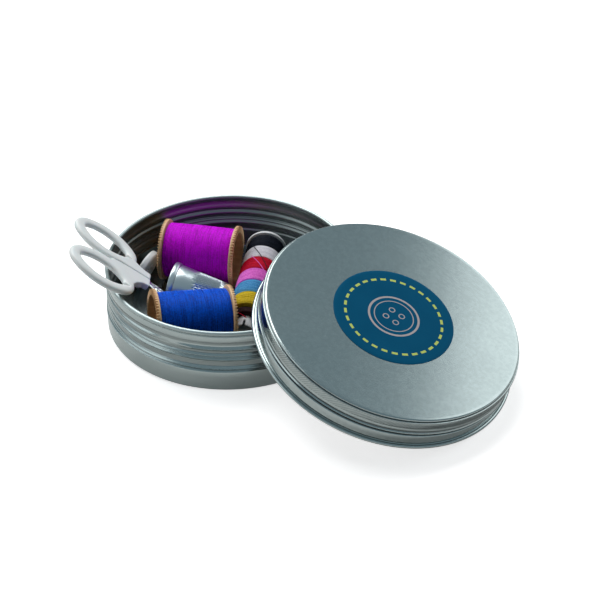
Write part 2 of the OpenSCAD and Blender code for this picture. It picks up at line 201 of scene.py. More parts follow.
def drawLine(name, points, closed=False, filled=False):  # millimetres in, a mesh line or outline out
    pickUp(None)
    bpy.ops.mesh.primitive_circle_add(vertices=len(points), radius=startRadius,
                                      fill_type="NGON" if filled else "NOTHING")
    piece = bpy.context.object
    piece.name = piece.data.name = name
    for vertex, point in zip(piece.data.vertices, points):
        vertex.co = Vector(point) * mm
    if not closed and not filled:
        ends = {0, len(points) - 1}
        choose(piece, "edges", lambda edge: set(edge.vertices) == ends)
        bpy.ops.mesh.delete(type="EDGE")
        bpy.ops.object.mode_set(mode="OBJECT")
    return piece


def turnProfile(name, profile, steps, closed=False):  # turns a line of (radius, height) round the z axis
    piece = drawLine(name, [(r, 0, z) for r, z in profile], closed)
    modify(piece, "SCREW", angle=fullTurn, steps=steps, render_steps=steps,
           use_merge_vertices=True, merge_threshold=mergeGap)
    cleanUp(piece)
    return piece


def moveVertices(piece, rule):
    for vertex in piece.data.vertices:
        vertex.co = rule(vertex.co.copy())
    piece.data.update()


def lift(piece, height):
    moveVertices(piece, lambda p: Vector((p.x, p.y, p.z + height * mm)))


def pushOut(piece, rule, distance):  # moves the chosen points along their normals
    chosen = [(vertex, vertex.normal.copy()) for vertex in piece.data.vertices if rule(vertex)]
    for vertex, normal in chosen:
        vertex.co += normal * distance * mm
    piece.data.update()
    print(piece.name, len(chosen), "points pushed")


def thicken(piece, height):  # an outline in the xy plane becomes a plate about z = 0
    moveVertices(piece, lambda p: Vector((p.x, p.y, -height * mm / 2)))
    pickUp(piece)
    bpy.ops.object.mode_set(mode="EDIT")
    bpy.ops.mesh.select_all(action="SELECT")
    bpy.ops.mesh.extrude_region_move(TRANSFORM_OT_translate={"value": (0, 0, height * mm)})
    bpy.ops.object.mode_set(mode="OBJECT")
    cleanUp(piece)


def cut(piece, tool):
    modify(piece, "BOOLEAN", operation="DIFFERENCE", object=tool, solver="EXACT")
    bpy.data.objects.remove(tool)


def drill(piece, radius, depth, x=0.0, y=0.0, sides=48):
    pickUp(None)
    bpy.ops.mesh.primitive_cylinder_add(vertices=sides, radius=radius * mm, depth=depth * mm,
                                        location=(x * mm, y * mm, 0))
    cut(piece, bpy.context.object)


def roundEdges(piece, width, segments, sharpest):
    modify(piece, "BEVEL", width=width * mm, segments=segments, limit_method="ANGLE", angle_limit=radians(sharpest))


def join(name, *parts):
    pickUp(parts[0])
    for part in parts[1:]:
        part.select_set(True)
    bpy.ops.object.join()
    parts[0].name = name
    return parts[0]


def setDown(piece, place):  # the place goes into the mesh
    pickUp(piece)
    piece.matrix_world = place
    bpy.ops.object.transform_apply(location=True, rotation=True, scale=True)


def fitPiece(piece, node, body, material, place=Matrix(), angle=35):
    pickUp(piece)
    bpy.ops.object.shade_smooth_by_angle(angle=radians(angle))
    attribute = piece.data.attributes.new("bench", "FLOAT_VECTOR", "POINT")
    coordinates = [0.0] * (3 * len(piece.data.vertices))
    piece.data.vertices.foreach_get("co", coordinates)
    attribute.data.foreach_set("vector", coordinates)
    setDown(piece, place)
    piece.data.materials.clear()
    piece.data.materials.append(material)
    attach(piece, body)
    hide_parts(node)
    print(piece.name, len(piece.data.polygons), "faces")


def at(x, y, z, *turns):  # a place in millimetres and turns such as ("Z", 30), in the order of the source
    place = Matrix.Translation(Vector((x, y, z)) * mm)
    for axis, angle in turns:
        place = place @ Matrix.Rotation(radians(angle), 4, axis)
    return place


def arc(centre, radius, start, end, count=6):
    angles = [radians(start + (end - start) * i / count) for i in range(count + 1)]
    return [(centre[0] + radius * cos(angle), centre[1] + radius * sin(angle)) for angle in angles]


def bead(radius, out, low, high, count=8):  # a round bead of a wall, from low to high
    return [(radius + out * (0.5 - 0.5 * cos(fullTurn * i / count)), low + (high - low) * i / count)
            for i in range(count + 1)]


# Where each thing lies

lidPlace = at(49.059, -32.103, 12.857, ("Z", -33.2), ("Y", 17.85))
magentaPlace = at(-10.7, 20.08, 11.3, ("Z", -10.6), ("Y", 90))
bluePlace = at(-11.4, -19.92, 12.61, ("Z", 14.4), ("Y", 96.1))
thimblePlace = at(-19.9, 3.18, 9.21, ("Z", -13.6), ("Y", 98.22))
tubePlace = at(11.62, 27.91, 8.0, ("Z", -97.6), ("Y", 90))
scissorsPlace = at(-23.009, -8.9, 15.146, ("Z", 8.8), ("Y", 36.3), ("Z", -11.6))
buttonPlace = at(-29.4, 15, 7.86, ("Z", 155.7), ("Y", 68.7))


# Metal finishes

# Clouds, specks and lines are wear; the darker inside and the dark groove colour are painted shade
wearAndPaintedShade = {"clouds": 55.0, "specks": 900.0, "lineGloss": 0.06, "cloudShade": 0.86, "speckEdge": (0.5, 0.12),
        "speckShade": 0.6, "insideEdge": (-0.004, 0.003), "insidePaintedShade": 0.55, "insideRough": 0.13,
        "rimEdge": (21.45 * mm, 0.1 * mm), "rimRough": 0.2, "paintedGrooveShade": (0.02, 0.024, 0.025),
        "paintedGrooveShadeFrom": (39.9 * mm, 0.1 * mm), "paintedGrooveShadeSoft": 0.05 * mm, "speckHeight": 0.25, "strength": 0.5}


def brushedMetal(name, colour, grain, roughness, groove=0.000006, smudge=0.05, dullInsideAndPaintedShade=False,
                 mottle=0.0, paintedGrooveShade=()):
    finish = Finish(name)
    where = finish.bench()
    lines = finish.noise(finish.stretched(where, grain), 1.0, 3.0, 0.6)
    clouds = finish.noise(where, wearAndPaintedShade["clouds"], 3.0, 0.55)
    specks = finish.noise(where, wearAndPaintedShade["specks"])
    shade = finish.mix(clouds * 0.5, colour, darker(colour, wearAndPaintedShade["cloudShade"]))
    if mottle:
        shade = finish.mix(specks.above(*wearAndPaintedShade["speckEdge"]) * mottle, shade, darker(colour, wearAndPaintedShade["speckShade"]))
    even = roughness - (wearAndPaintedShade["lineGloss"] + smudge) / 2
    rough = lines * wearAndPaintedShade["lineGloss"] + clouds * smudge + even
    x, y, z = finish.parts(where)
    radius = finish.reach(x, y)
    if dullInsideAndPaintedShade:  # the wall's inner side is duller and carries painted shade, and the rim is rubbed dull
        normal = finish.node("ShaderNodeNewGeometry", output="Normal")
        outward = finish.node("ShaderNodeVectorMath", {"operation": "DOT_PRODUCT"}, [where, normal], "Value")
        inside = 1.0 - outward.above(*wearAndPaintedShade["insideEdge"])
        shade = finish.mix(inside, shade, darker(colour, wearAndPaintedShade["insidePaintedShade"]))
        rough = rough + inside * wearAndPaintedShade["insideRough"] + z.above(*wearAndPaintedShade["rimEdge"]) * wearAndPaintedShade["rimRough"]
    for edge, soft, low, high, strength in paintedGrooveShade:  # painted shade darkens the grooves and the knurl's hollows
        sunk = (1.0 - radius.above(edge * mm, soft * mm)) * radius.above(*wearAndPaintedShade["paintedGrooveShadeFrom"])
        sunk = sunk * z.above(low * mm, wearAndPaintedShade["paintedGrooveShadeSoft"]) * (1.0 - z.above(high * mm, wearAndPaintedShade["paintedGrooveShadeSoft"]))
        shade = finish.mix(sunk * strength, shade, wearAndPaintedShade["paintedGrooveShade"])
    height = lines + specks * wearAndPaintedShade["speckHeight"]
    return finish.surface(Base_Color=shade, Metallic=1.0, Roughness=rough,
                          Normal=finish.bump(height, groove, wearAndPaintedShade["strength"]))


aluminium = (0.385, 0.44, 0.43)
# Painted shade in the grooves: outermost radius, its softness, lowest z, highest z, strength; lengths in millimetres
tinGrooveShade = [(40.22, 0.1, 9.2, 10.9, 0.3), (40.5, 0.1, 12.9, 13.3, 0.45), (40.22, 0.1, 14.1, 15.1, 0.4),
            (40.22, 0.1, 17.2, 18.4, 0.35), (40.5, 0.15, 7.45, 7.8, 0.4)]
lidGrooveShade = [(41.22, 0.06, 1.0, 7.2, 0.85), (41.43, 0.05, 8.1, 10.75, 0.4), (41.2, 0.05, 10.8, 11.02, 0.8)]
tinMetal = brushedMetal("turnedTin", aluminium, (120, 120, 3200), 0.25, dullInsideAndPaintedShade=True, paintedGrooveShade=tinGrooveShade)
lidWallMetal = brushedMetal("lidMetal", aluminium, (220, 2800, 2800), 0.18, mottle=0.16, paintedGrooveShade=lidGrooveShade)
thimbleMetal = brushedMetal("nickel", (0.52, 0.57, 0.58), (300, 300, 500), 0.29, 0.0000015, 0.04)
bladeMetal = brushedMetal("groundSteel", (0.46, 0.49, 0.51), (400, 4000, 400), 0.2)

# Tin

tin = {"radius": 41.0, "height": 22.2, "sheet": 0.4, "floor": 0.6, "corner": 1.1, "neck": 40.1,
       "beadOut": 0.6, "rimLine": 39.8, "rimTube": 0.7, "steps": 288,
       "shoulderBead": (0.22, 0.42, 7.75, 9.05), "lowerThread": (11.0, 12.9), "upperThread": (15.2, 17.1),
       "threadLow": 14.1, "threadHigh": 18.3, "threadRise": 0.55, "wallFrom": 39.0, "runOut": 244.0,
       "runOutSpan": 14.0, "runOutLeft": 0.25}


def tinWall(tin, shift):  # the wall's line from the corner up to the rim, drawn in by shift
    r, neck, out = tin["radius"] - shift, tin["neck"] - shift, tin["beadOut"]
    beadFoot, beadOut, beadLow, beadHigh = tin["shoulderBead"]
    body = [(r, 1.1), (r, 3.0), (r, 5.2), (r, 6.9), (r - 0.08, 7.25), (r - 0.5, 7.5), (r - 0.62, 7.66)]
    plain = [(9.35, 0), (10.1, 0), (10.75, 0)]
    groove = [(12.85, 0.58), (13.0, 0.42), (13.1, 0.36), (13.2, 0.42), (13.4, 0.56), (13.75, 0.45),
              (14.05, 0.15), (14.35, 0), (15.0, 0)]
    top = [(17.4, 0), (18.15, 0), (18.45, 0.14), (18.7, 0.2), (20.1, 0.2), (20.4, 0.1)]
    return (body + bead(neck + beadFoot, beadOut, beadLow, beadHigh) + [(neck + d, z) for z, d in plain]
            + bead(neck, out, *tin["lowerThread"])[:-2] + [(neck + d, z) for z, d in groove]
            + bead(neck, out, *tin["upperThread"]) + [(neck + d, z) for z, d in top])


def threadStart(point):  # the screw thread climbs round the neck and runs out at its start
    z, r, neck = point.z / mm, hypot(point.x, point.y), tin["neck"]
    low, high = tin["threadLow"], tin["threadHigh"]
    if r < tin["wallFrom"] * mm or not low < z < high:
        return point
    turn = (degrees(atan2(point.y, point.x)) - tin["runOut"]) % 360
    near = min(turn, 360 - turn) / tin["runOutSpan"]
    fade = 1 if near > 1 else near * near * (3 - 2 * near)
    climb = tin["threadRise"] * (turn / 360 - 0.5) * sin(pi * (z - low) / (high - low)) ** 0.5
    base = (neck if r > (neck - tin["sheet"] / 2) * mm else neck - tin["sheet"]) * mm
    drawn = base + (r - base) * (tin["runOutLeft"] + (1 - tin["runOutLeft"]) * fade)
    return Vector((point.x * drawn / r, point.y * drawn / r, point.z + climb * mm))


def makeTin(tin):
    r, neck, floorZ, corner = tin["radius"], tin["neck"], tin["floor"], tin["corner"]
    rim = (tin["rimLine"], tin["height"] - tin["rimTube"])
    under = [(0, 0.3), (20, 0.3), (36.4, 0.3), (37.0, 0.22), (37.4, 0.05), (37.9, 0)]
    inside = [(r - 0.5, 0.95), (r - 0.8, 0.68), (r - 1.3, floorZ), (36, floorZ), (18, floorZ), (0, floorZ)]
    profile = (under + arc((r - corner, corner), corner, -90, 0)[:-1] + tinWall(tin, 0)
               + [(neck + 0.02, 20.62), (neck + 0.1, 20.82)] + arc(rim, tin["rimTube"], -35, 250, 18)
               + tinWall(tin, tin["sheet"])[::-1] + inside)
    piece = turnProfile("tinShell", profile, tin["steps"])
    moveVertices(piece, threadStart)
    return piece


fitPiece(makeTin(tin), "tin_body", "tin", tinMetal)

# Lid

lid = {"radius": 41.45, "height": 11.7, "sheet": 0.4, "hemLine": 41.85, "hemTube": 0.6, "edge": 0.55,
       "edgeLine": 40.35, "beadFoot": 0.3, "beadOut": 0.36, "beadHigh": 6.6, "beadLow": 5.5, "knurlLow": 8.05,
       "knurlHigh": 10.75, "knurlIn": 0.1, "knurlRows": 6, "knurlDepth": 0.2, "knurlEnd": 0.2, "steps": 600}


def makeLid(lid):
    r, h, sheet = lid["radius"], lid["height"], lid["sheet"]
    inner, low, high, rows = r - sheet, lid["knurlLow"], lid["knurlHigh"], lid["knurlRows"]
    top = [(0, h), (20, h), (38, h), (39.6, h)] + arc((lid["edgeLine"], h - lid["edge"]), lid["edge"], 90, 0, 5)
    knurl = [(r - lid["knurlIn"], high + (low - high) * i / rows) for i in range(rows + 1)]
    wall = ([(r - 0.59, h - 0.7), (r - 0.61, h - 0.78), (r - 0.5, h - 0.86), (r - 0.12, h - 0.9)] + knurl
            + [(r - 0.05, 7.9), (r, 7.7), (r, 7.3), (r - 0.1, 7.14), (r - 0.36, 7.02), (r - 0.36, 6.72)]
            + bead(r - lid["beadFoot"], lid["beadOut"], lid["beadHigh"], lid["beadLow"])
            + [(r - 0.36, 5.38), (r - 0.36, 5.08), (r - 0.08, 4.9), (r, 4.75), (r, 3.2), (r, 1.8),
               (r - 0.08, 1.7), (r - 0.34, 1.58), (r - 0.36, 1.3)])
    hem = arc((lid["hemLine"], lid["hemTube"]), lid["hemTube"], 125, -150, 16)
    inside = [(inner, 0.5), (inner, 1.4), (inner, 5), (inner, h - 1.3), (inner - 0.3, h - 0.7),
              (inner - 0.9, h - sheet), (38, h - sheet), (20, h - sheet), (0, h - sheet)]
    piece = turnProfile("lidShell", top + wall + hem + inside, lid["steps"])
    step, row = fullTurn / lid["steps"], (high - low) / rows

    def onKnurl(vertex):
        z = vertex.co.z / mm
        if not low + lid["knurlEnd"] < z < high - lid["knurlEnd"] or hypot(*vertex.co.xy) < (r - sheet / 2) * mm:
            return False
        along = round(atan2(vertex.co.y, vertex.co.x) / step)
        return (along + round((high - z) / row)) % 2 == 0
    pushOut(piece, onKnurl, lid["knurlDepth"])
    return piece


fitPiece(makeLid(lid), "lid_shell", "lid", lidWallMetal, lidPlace)

liner = {"radius": 40.1, "bottom": 10.5, "top": 11.3, "dish": 0.06, "steps": 160}


def makeLiner(liner):
    r, low, high, dish = liner["radius"], liner["bottom"], liner["top"], liner["dish"]
    face = [(0, low + dish), (15, low + dish), (34.4, low + dish), (34.8, low + 2 * dish), (35.4, low + 2 * dish),
            (35.8, low + 0.02), (r - 0.4, low), (r - 0.08, low + 0.1)]
    back = [(r, low + 0.25), (r, high - 0.1), (r - 0.2, high), (20, high), (0, high)]
    return turnProfile("foamLiner", face + back, liner["steps"])


finish = Finish("foamLiner")
cells = finish.node("ShaderNodeTexVoronoi", {"feature": "F1"}, {"Vector": finish.bench(), "Scale": 2600.0})
dirt = finish.noise(finish.bench(), 40.0, 4.0)
foam = finish.surface(Base_Color=finish.mix(dirt, (0.80, 0.80, 0.78), (0.72, 0.72, 0.70)),
                      Roughness=dirt * 0.1 + 0.8, Normal=finish.bump(cells, 0.0001, 0.6))
fitPiece(makeLiner(liner), "lid_liner", "lid", foam, lidPlace)

# Label: a stitched ring round a plain button

label = {"radius": 19.4, "thick": 0.12, "ringRadius": 15.6, "ringHalf": 0.42, "stitches": 30,
         "stitchFrom": -0.25, "buttonRadius": 8.0, "buttonLine": 0.7, "innerStep": 1.7, "fineLine": 0.16,
         "holeAt": 2.6, "holeRadius": 0.9, "blues": ((0.001, 0.074, 0.158), (0.003, 0.098, 0.20)),
         "stitchGreen": (0.56, 0.67, 0.16), "buttonGrey": (0.47, 0.42, 0.42)}


def labelPrint(label):
    finish = Finish("labelPrint")
    x, y, z = finish.parts(finish.bench())
    radius = finish.reach(x, y) / mm
    stitch = finish.math("SINE", finish.math("ARCTAN2", y, x) * float(label["stitches"]))

    def band(value, middle, half, soft=0.05):
        return 1.0 - (value - middle).math("ABSOLUTE").above(half, soft)
    stitches = band(radius, label["ringRadius"], label["ringHalf"]) * stitch.above(label["stitchFrom"], 0.12)
    button = band(radius, label["buttonRadius"], label["buttonLine"] / 2)
    button = button.math("MAXIMUM", band(radius, label["buttonRadius"] - label["innerStep"], label["fineLine"]))
    for hx, hy in arc((0, 0), label["holeAt"] * mm, 45, 315, 3):
        apart = finish.reach(x - hx, y - hy) / mm
        button = button.math("MAXIMUM", band(apart, label["holeRadius"], label["fineLine"]))
    grain = finish.noise(finish.bench(), 1500.0)
    clouds = finish.noise(finish.bench(), 90.0, 3.0)
    withStitches = finish.mix(stitches, finish.mix(clouds, *label["blues"]), label["stitchGreen"])
    height = finish.mix(stitches.math("MAXIMUM", button), (0, 0, 0), (1, 1, 1))
    return finish.surface(Base_Color=finish.mix(button, withStitches, label["buttonGrey"]),
                          Roughness=clouds * 0.08 + 0.4, Specular_IOR_Level=0.02,
                          Normal=finish.bump(grain * 0.6 + height, 0.00001, 0.5))


def makeLabel(label):
    r, t = label["radius"], label["thick"]
    profile = [(0, 0), (r - 0.2, 0), (r, 0.02), (r, t - 0.03), (r - 0.1, t), (18, t), (9, t), (0, t)]
    piece = turnProfile("lidLabel", profile, 192)
    lift(piece, lid["height"])
    return piece


fitPiece(makeLabel(label), "lid_label", "lid", labelPrint(label), lidPlace)
print("tin and lid made")

# Spools

spool = {"length": 25.8, "flange": 10.4, "flangeThick": 1.3, "barrel": 8.8, "hollow": 8.2,
         "web": 0.6, "spindle": 3.0, "teeth": 66, "toothDepth": 0.8, "toothReach": 0.9}


def makeSpool(name, spool):
    half, f, b, hollow = spool["length"] / 2, spool["flange"], spool["barrel"], spool["hollow"]
    inside, web, spindle = half - spool["flangeThick"], spool["web"], spool["spindle"]
    bore = [(spindle, web - 0.15), (spindle + 0.2, web), (7.7, web), (8.0, web + 0.15), (8.1, web + 0.5),
            (hollow, 6.0), (hollow, half - 0.35), (hollow + 0.12, half - 0.1), (hollow + 0.35, half)]
    flange = [(f - 0.85, half), (f - 0.45, half), (f, half - 0.02), (f, half - 0.86), (f, inside + 0.25),
              (f - 0.08, inside + 0.07), (f - 0.25, inside), (b + 0.1, inside), (b, inside - 0.1)]
    upper = bore + flange
    steps = spool["teeth"] * 4
    piece = turnProfile(name, upper + [(r, -z) for r, z in reversed(upper)], steps, closed=True)

    def notch(point):  # the end faces' rims are toothed
        r, z = hypot(point.x, point.y) / mm, point.z / mm
        if r <= f - spool["toothReach"] or abs(z) <= half - 0.1:
            return point
        phase = round(atan2(point.y, point.x) * steps / fullTurn) % 4
        depth = spool["toothDepth"] * (0, 1, 1, 0)[phase]
        return Vector((point.x, point.y, point.z - (depth if z > 0 else -depth) * mm))
    moveVertices(piece, notch)
    return piece


def birch():
    finish = Finish("spoolWood")
    rings = finish.streaks((900, 900, 60), 3.0)
    clouds = finish.noise(finish.bench(), 120.0, 3.0)
    stops = [(0.25, (0.62, 0.36, 0.17)), (0.55, (0.78, 0.50, 0.26)), (0.8, (0.86, 0.62, 0.35))]
    return finish.surface(Base_Color=finish.ramp(rings * 0.65 + clouds * 0.35, stops),
                          Roughness=clouds * 0.15 + 0.42, Normal=finish.bump(rings, 0.00006, 0.5))


wood = birch()
fitPiece(makeSpool("magentaSpool", spool), "magenta_spool", "magenta_reel", wood, magentaPlace)
fitPiece(makeSpool("blueSpool", spool), "blue_spool", "blue_reel", wood, bluePlace)

# Wound thread: core is the winding's inner radius, wander how far a turn strays, crown how much the
# ends are lower than the middle, shoulder the extra drop at the last turns

wound = {"swell": 0.42, "shoulderRun": 0.9, "coreFit": 0.02, "quick": 0.83, "slow": 0.17, "slowShare": 0.6,
         "round": 0.8, "slowRound": 2}


def windThread(name, core, radius, length, pitch, steps, wander, crown, shoulder, seed):
    turns = round(length / pitch)
    pitch = length / turns
    start, swell = -length / 2, pitch * wound["swell"]
    turnLine = [(radius - swell * (1 - sin(pi * i / 4)), 0, start + pitch * i / 4) for i in range(5)]
    piece = drawLine(name, turnLine)
    modify(piece, "SCREW", angle=fullTurn, steps=steps, render_steps=steps, iterations=turns - 1,
           screw_offset=pitch * mm, use_merge_vertices=True, merge_threshold=mergeGap)
    cleanUp(piece)

    def settle(point):
        r, z = hypot(point.x, point.y), point.z / mm
        lane = (z - start) / pitch
        side = Vector((point.x / r * wound["round"], point.y / r * wound["round"], 0))
        slowSide = side * wound["slowRound"]
        stray = wander * noise.noise(Vector((lane * wound["quick"], side.x, side.y + seed)))
        stray += wander * wound["slowShare"] * noise.noise(
            Vector((lane * wound["slow"], slowSide.x, slowSide.y - seed)))
        edge = max(0.0, 1 - (length / 2 - abs(z)) / wound["shoulderRun"])
        drop = crown * (2 * z / length) ** 2 + shoulder * edge * edge
        grown = (r / mm + stray - drop) * mm / r
        return Vector((point.x * grown, point.y * grown, point.z))
    moveVertices(piece, settle)
    choose(piece, "edges", lambda edge: False)
    bpy.ops.mesh.select_non_manifold(extend=False)
    bpy.ops.mesh.extrude_region_move()
    shrink = (core + wound["coreFit"]) / radius  # both ends close down to the barrel
    bpy.ops.transform.resize(value=(shrink, shrink, 1), center_override=(0, 0, 0))
    bpy.ops.object.mode_set(mode="OBJECT")
    cleanUp(piece)
    return piece


def yarn(name, dark, light, shine=0.35, gloss=0.1):
    finish = Finish(name)
    strands = finish.streaks((120, 120, 2700), 2.0)
    sparkle = finish.noise(finish.bench(), 2000.0)
    mixed = finish.mix((strands * 0.7 + sparkle * 0.5).above(0.57, 0.16), dark, light)
    return finish.surface(Base_Color=mixed, Roughness=sparkle * 0.2 + shine, Specular_IOR_Level=gloss,
                          Normal=finish.bump(sparkle + strands, 0.00018, 0.8))


reel = {"core": 8.78, "radius": 9.4, "length": 23.15, "pitch": 0.3, "steps": 72, "wander": 0.1,
        "crown": 0.15, "shoulder": 0.06}
magentaYarn = yarn("magentaYarn", (0.42, 0.001, 0.48), (0.78, 0.006, 0.90))
blueYarn = yarn("blueYarn", (0.0, 0.04, 0.36), (0.002, 0.12, 0.76))
for colour, material, place, seed in (("magenta", magentaYarn, magentaPlace, 1.7),
                                      ("blue", blueYarn, bluePlace, 6.3)):
    winding = windThread(colour + "Winding", seed=seed, **reel)
    fitPiece(winding, colour + "_thread", colour + "_reel", material, place, 60)
print("reels made")

# Thread tube

tube = {"bandRadius": 6.7, "bandLength": 6.8, "lastLength": 3.0, "lastStep": 1.3, "flange": 7.1,
        "flangeThick": 1.1, "radius": 3.4, "bore": 3.0, "length": 49.5, "slot": 0.8, "slotDepth": 2.76,
        "slotReach": 6.0, "bandFit": 0.05, "endLine": 6.72, "steps": 96}


def makeTube(tube):
    f, t, r, bore, end = tube["flange"], tube["flangeThick"], tube["radius"], tube["bore"], tube["length"]
    flange = [(bore + 0.2, 0), (f - 0.3, 0), (f - 0.08, 0.1), (f, 0.3), (f, t - 0.3), (f - 0.08, t - 0.1),
              (f - 0.3, t), (r + 0.3, t), (r, t + 0.2)]
    stem = [(r, 20), (r, end - 0.2), (r - 0.06, end - 0.06), (r - 0.2, end), (bore + 0.2, end),
            (bore + 0.05, end - 0.08), (bore, end - 0.25), (bore, 20), (bore, 0.25), (bore + 0.05, 0.08)]
    piece = turnProfile("paperTube", flange + stem, tube["steps"], closed=True)
    pickUp(None)
    middle, reach = end - tube["slotDepth"] / 2 + 1, tube["slotReach"]
    bpy.ops.mesh.primitive_cube_add(size=1, location=(-reach / 2 * mm, 0, middle * mm),
                                    scale=(reach * mm, tube["slot"] * mm, (tube["slotDepth"] + 2) * mm))
    cut(piece, bpy.context.object)
    return piece


finish = Finish("paperWhite")
fibres = finish.streaks((800, 800, 200), 4.0)
paper = finish.surface(Base_Color=finish.mix(fibres, (0.66, 0.68, 0.70), (0.78, 0.79, 0.80)),
                       Roughness=fibres * 0.2 + 0.45, Normal=finish.bump(fibres, 0.00006, 0.4))
fitPiece(makeTube(tube), "thread_tube", "thread_tube", paper, tubePlace)


def tubePoint(turn, along, radius):  # on the bands; 0 degrees is up, 90 to the right
    return Vector((-radius * cos(radians(turn)), radius * sin(radians(turn)), along)) * mm


def looseEnd(name, points, thick):
    pickUp(None)
    bpy.ops.curve.primitive_nurbs_path_add()
    curve = bpy.context.object
    line = curve.data.splines[0]
    line.points.add(max(0, len(points) - len(line.points)))
    for knot, point in zip(line.points, points):
        knot.co = (*point, 1)
    line.order_u = 4
    line.use_endpoint_u = True
    line.resolution_u = 6
    curve.data.bevel_depth = thick / 2 * mm
    curve.data.bevel_resolution = 3
    curve.data.use_fill_caps = True
    bpy.ops.object.convert(target="MESH")
    curve.name = name
    return curve


def arched(top, i):  # an end lies on the winding and bows up on its way
    return tube["endLine"] + top * sin(pi * min(1, i / 7))


looseEnds = {  # knots and thickness
    "black": ([tubePoint(-34 + 9 * i, 7.2 + 1.9 * i, arched(0.28, i)) for i in range(9)], 0.26),
    "pink": ([tubePoint(-27 + 8 * i, 14.3 + 1.35 * i, arched(0.2, i)) for i in range(9)], 0.22),
    "red": ([tubePoint(-62 + 10 * i, 43.0 + 0.75 * i + 0.5 * sin(i), 5.5 + 0.5 * sin(i * 0.9))
             for i in range(8)], 0.24)}
bandWinding = {"core": 3.42, "pitch": 0.34, "steps": 64, "wander": 0.12, "crown": 0.05, "shoulder": 0.32}
bands = [("black", (0.003, 0.004, 0.009), (0.012, 0.016, 0.028)), ("white", (0.66, 0.65, 0.71), (0.86, 0.85, 0.90)),
         ("red", (0.42, 0.002, 0.018), (0.66, 0.006, 0.04)), ("pink", (0.66, 0.10, 0.54), (0.86, 0.22, 0.72)),
         ("sky", (0.05, 0.24, 0.52), (0.11, 0.38, 0.66)), ("yellow", (0.55, 0.40, 0.015), (0.78, 0.60, 0.04)),
         ("brown", (0.018, 0.006, 0.008), (0.05, 0.018, 0.02))]
for number, (colour, dark, light) in enumerate(bands):
    last = colour == "brown"  # the last band is nearly used up
    length = tube["lastLength"] if last else tube["bandLength"]
    radius = tube["bandRadius"] - (tube["lastStep"] if last else 0) - tube["bandFit"]
    winding = windThread(colour + "Band", radius=radius, length=length - 0.04, seed=11.0 + number * 3,
                         **bandWinding)
    lift(winding, tube["flangeThick"] + number * tube["bandLength"] + length / 2)
    if colour in looseEnds:
        winding = join(colour + "Band", winding, looseEnd("end", *looseEnds[colour]))
    fitPiece(winding, colour + "_thread", "thread_tube", yarn(colour + "Yarn", dark, light, 0.5),
             tubePlace, 60)
print("thread tube made")

# Thimble

thimble = {"length": 19.5, "mouth": 8.0, "tip": 5.8, "wall": 0.5, "bead": 0.4, "tipRound": 1.5, "sideFrom": 0.8,
           "dimplesFrom": 7.6, "dimplesTo": 17.6, "dimpleEnd": 0.2, "rows": 16, "around": 30, "dimpleDepth": 0.42}


def makeThimble(thimble):
    mouth, tip, length, wall = thimble["mouth"], thimble["tip"], thimble["length"], thimble["wall"]
    turned, foot, low, high = thimble["bead"], thimble["sideFrom"], thimble["dimplesFrom"], thimble["dimplesTo"]
    shoulder, count = length - thimble["tipRound"], thimble["rows"]

    def side(z):
        return mouth + (tip - mouth) * (z - foot) / (shoulder - foot)
    rows = [low + (high - low) * i / count for i in range(count + 1)]
    rim = arc((mouth, turned), turned, -90, 0) + [
        (mouth + 0.38, 0.9), (mouth + 0.32, 1.4), (mouth + 0.2, 1.75), (mouth - 0.05, 1.95),
        (side(2.1) - 0.06, 2.1), (side(2.3), 2.3)]
    outside = [(side(z), z) for z in (4.5, 7.2, *rows, shoulder)]
    closed = arc((tip - thimble["tipRound"], shoulder), thimble["tipRound"], 12, 90) + [
        (2.4, length), (1.2, length), (0, length)]
    inside = [(0, length - wall), (tip - 1.6, length - wall), (tip - wall - 0.2, shoulder + 0.5),
              (side(12) - wall, 12), (side(4) - wall, 4), (mouth - wall, 0.4), (mouth - 0.3, 0.06)]
    piece = turnProfile("thimbleShell", rim + outside + closed + inside, thimble["around"] * 4)
    step, row = pi / thimble["around"], rows[1] - rows[0]

    def onDimple(vertex):
        z, r = vertex.co.z / mm, hypot(*vertex.co.xy) / mm
        if not low + thimble["dimpleEnd"] < z < high - thimble["dimpleEnd"] or r < side(z) - 0.2:
            return False
        along = atan2(vertex.co.y, vertex.co.x) / step
        return abs(along - round(along)) < 0.1 and (round(along) + round((z - low) / row)) % 2 == 0
    pushOut(piece, onDimple, -thimble["dimpleDepth"])
    return piece


fitPiece(makeThimble(thimble), "thimble", "thimble", thimbleMetal, thimblePlace, 50)
print("thimble made")

# Scissors

handles = {"thick": 2.0, "bar": 4.0, "point": 2.4, "rise": 0.35, "loopA": 10.15, "loopB": 6.55, "endRadius": 4.55,
           "endShare": 0.28, "squareness": 0.85, "plasticEnd": 4.0, "parting": 2.7, "gap": 0.35, "backNeck": 3.2,
           "frontNeck": 4.2, "neckRun": 4.4, "webAngles": (8, -8, -24, -40), "webTrim": 0.1, "webRound": 0.45,
           "seam": 0.04, "voxel": 0.16, "smoothing": 0.6}
endLine = handles["loopA"] - handles["endRadius"]
sideRadius = ((endLine ** 2 + handles["loopB"] ** 2 - handles["endRadius"] ** 2)
              / (2 * (handles["loopB"] - handles["endRadius"])))
endAngle = degrees(atan2(sideRadius - handles["loopB"], endLine))


def loopLine(turn):  # a point of the finger loop's middle line and its outward direction
    turn %= 360
    flip = -1 if turn >= 180 else 1
    share, endShare = (turn if flip > 0 else turn - 180) / 180, handles["endShare"]
    if share < endShare:
        angle = radians(-endAngle + 2 * endAngle * share / endShare)
        centre, radius = Vector((endLine, 0)), handles["endRadius"]
    else:
        angle = radians(endAngle + (180 - 2 * endAngle) * (share - endShare) / (1 - endShare))
        centre, radius = Vector((0, handles["loopB"] - sideRadius)), sideRadius
    out = Vector((cos(angle), sin(angle)))
    return (centre + out * radius) * flip, out * flip


